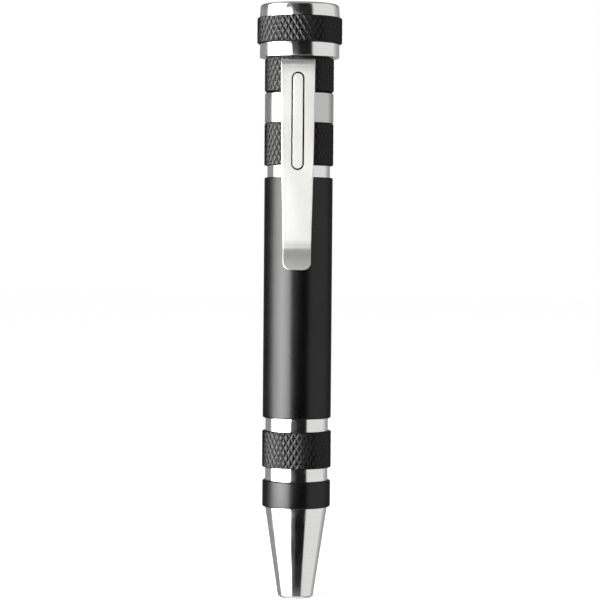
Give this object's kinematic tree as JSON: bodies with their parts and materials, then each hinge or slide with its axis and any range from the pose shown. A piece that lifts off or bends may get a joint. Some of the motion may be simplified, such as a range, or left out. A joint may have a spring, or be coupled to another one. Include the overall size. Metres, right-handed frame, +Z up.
{
  "type": "pocket screwdriver",
  "caption": "Slim pocket screwdriver with a tapered hex-socket nose, stacked smooth and knurled rings, a spring clip, and a turning head that draws out the bit carrier.",
  "frame": {"origin": "centre of the nose tip, at the mouth of the hex socket", "axes": "+Z runs up the axis from the nose to the head, as the screwdriver stands in the picture; the clip is on the -Y side; +X completes the right-handed frame"},
  "size_m": [0.0172, 0.0177, 0.12],
  "materials": {
    "turned_aluminium": "fine turned, clear anodised",
    "black_anodised_aluminium": "satin black anodised",
    "spring_steel": "bright nickel plated",
    "plated_magnet": "nickel plated",
    "carrier_plastic": "moulded, satin",
    "tool_steel": "satin nickel plated",
    "seal_rubber": "smooth"
  },
  "bodies": {
    "handle": {"nose_cone": "turned_aluminium", "nose_magnet": "plated_magnet", "core_tube": "turned_aluminium", "front_collar": "black_anodised_aluminium", "front_grip": "black_anodised_aluminium", "barrel_sleeve": "black_anodised_aluminium", "rear_lower_grip": "black_anodised_aluminium", "spacer_ring": "turned_aluminium", "rear_upper_grip": "black_anodised_aluminium"},
    "clip": {"pocket_clip": "spring_steel"},
    "store": {"bit_carrier": "carrier_plastic", "bit_slotted_2": "tool_steel", "bit_slotted_3": "tool_steel", "bit_cross_00": "tool_steel", "bit_cross_0": "tool_steel", "bit_star_6": "tool_steel", "bit_star_8": "tool_steel", "head_seal": "seal_rubber", "carrier_pivot": "tool_steel"},
    "head": {"head_core": "turned_aluminium", "head_grip": "black_anodised_aluminium", "head_cap": "turned_aluminium"}
  },
  "joints": [
    {"name": "store_draw", "type": "slide", "parent": "handle", "child": "store", "axis": [0, 0, 1], "range_m": [0, 0.075]},
    {"name": "head_turn", "type": "hinge", "parent": "store", "child": "head", "pos_m": [0, 0, 0.11135], "axis": [0, 0, 1], "continuous": true},
    {"name": "clip_flex", "type": "hinge", "parent": "handle", "child": "clip", "pos_m": [0, -0.00635, 0.10815], "axis": [-1, 0, 0], "range_deg": [0, 5], "stiffness_Nm_per_rad": 4}
  ]
}
